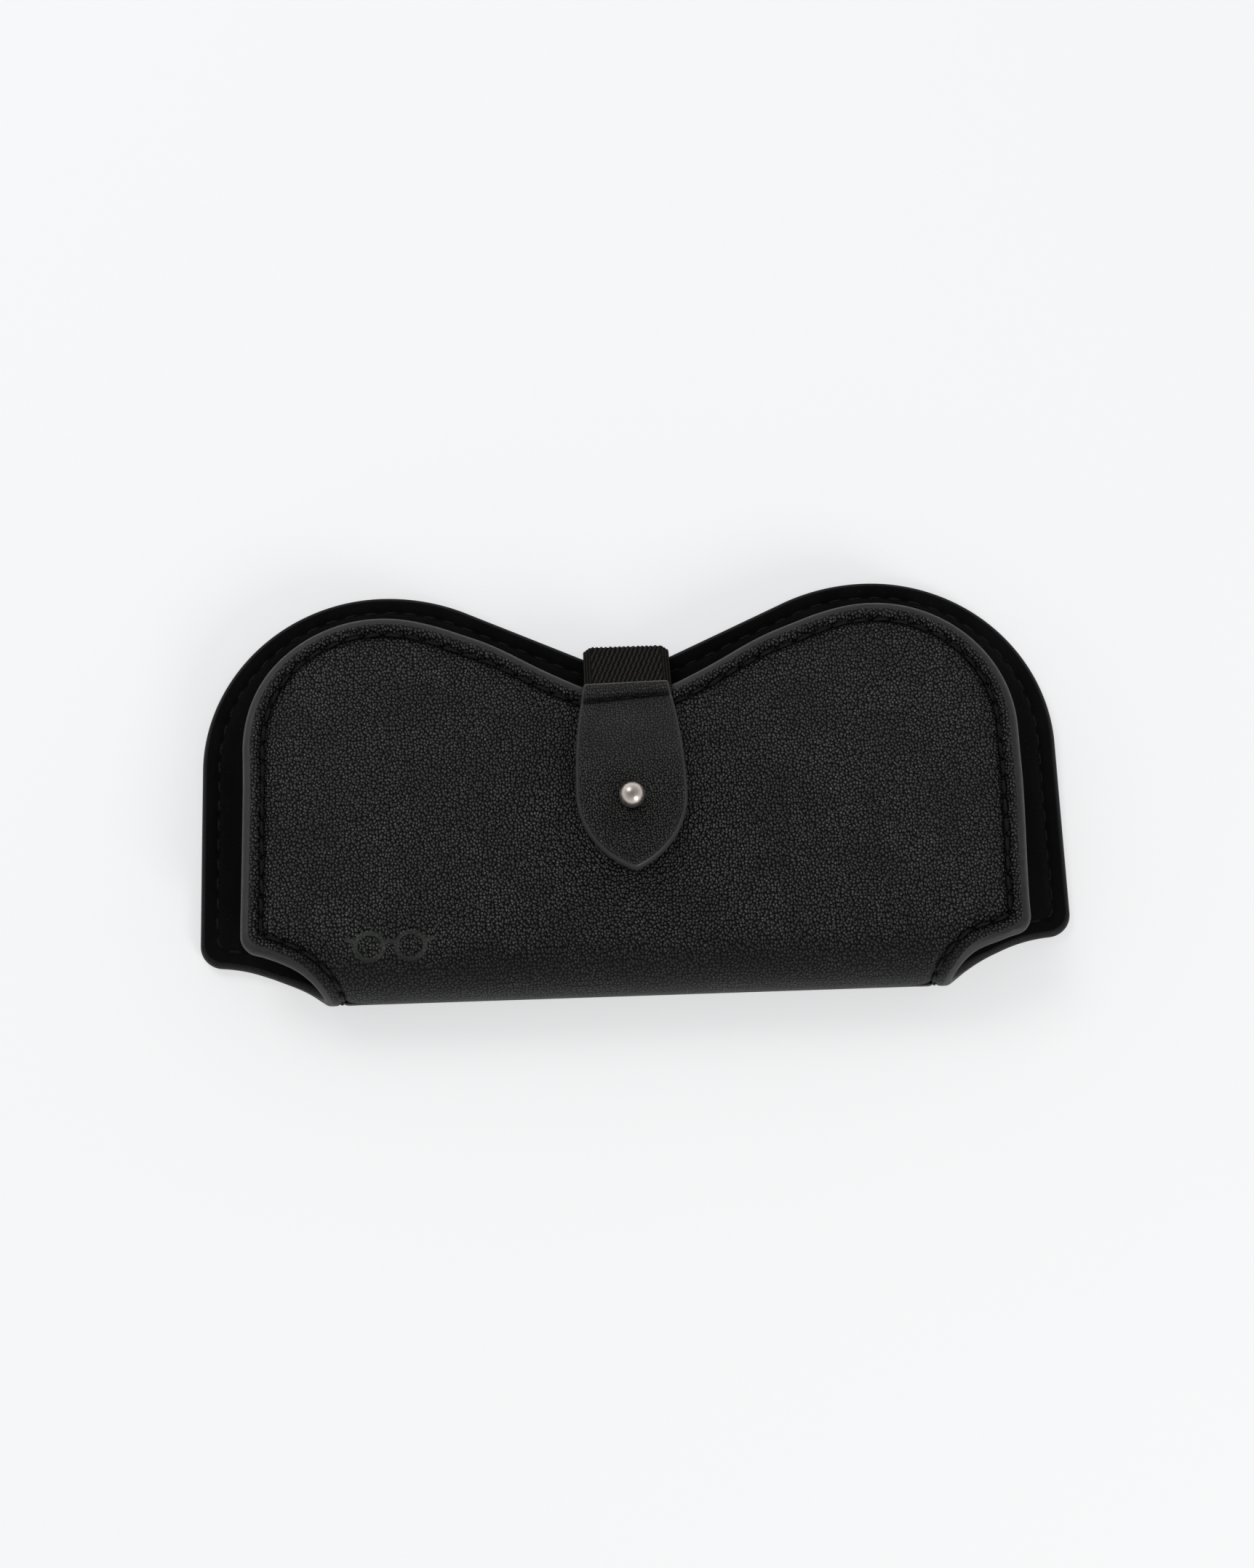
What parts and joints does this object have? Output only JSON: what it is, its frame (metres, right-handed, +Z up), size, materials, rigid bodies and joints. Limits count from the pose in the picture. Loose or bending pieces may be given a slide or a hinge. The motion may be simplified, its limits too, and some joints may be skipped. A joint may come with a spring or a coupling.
{
  "type": "soft glasses case",
  "caption": "Fold-over soft leather glasses case with a two-humped mouth, an elastic band and a leather tab that buttons over a ball stud.",
  "frame": {"origin": "middle of the case on the surface it lies on, back panel down", "axes": "+X along the fold to the right, +Y from the fold to the mouth with its two humps, +Z up through the front panel"},
  "size_m": [0.168, 0.086, 0.0208],
  "materials": {
    "leather": "pebbled, semi-matt",
    "tab_leather": "finely grained, semi-matt",
    "lining": "microsuede",
    "board": "matt",
    "thread": "waxed thread",
    "elastic": "ribbed woven elastic",
    "nickel": "polished"
  },
  "bodies": {
    "back_panel": {"back_leather": "leather", "back_board": "board", "back_lining": "lining", "back_stitching": "thread", "elastic_root": "elastic"},
    "spine": {"spine_leather": "leather", "spine_lining": "lining"},
    "front_panel": {"front_leather": "leather", "front_board": "board", "front_lining": "lining", "front_stitching": "thread", "stud_ball": "nickel", "stud_screw": "nickel"},
    "strap": {"elastic_strap": "elastic"},
    "tab": {"tab_leather": "tab_leather", "tab_backing": "tab_leather", "tab_stitching": "thread", "elastic_end": "elastic"}
  },
  "joints": [
    {"name": "spine_fold", "type": "hinge", "parent": "back_panel", "child": "spine", "pos_m": [0, -0.035, 0], "axis": [1, 0, 0], "range_deg": [0, 18]},
    {"name": "front_fold", "type": "hinge", "parent": "spine", "child": "front_panel", "pos_m": [0, -0.03451, 0.01598], "axis": [1, 0, 0], "range_deg": [0, 18.2]},
    {"name": "strap_swing", "type": "hinge", "parent": "back_panel", "child": "strap", "pos_m": [0, 0.03055, 0.00285], "axis": [-1, 0, 0], "range_deg": [0, 137]},
    {"name": "tab_lift", "type": "hinge", "parent": "strap", "child": "tab", "pos_m": [0, 0.01996, 0.01526], "axis": [-1, 0, 0], "range_deg": [0, 30]}
  ],
  "couplings": [
    {"joint": "front_fold", "follows": "spine_fold", "ratio": 1},
    {"joint": "strap_swing", "follows": "spine_fold", "ratio": 7.6}
  ]
}
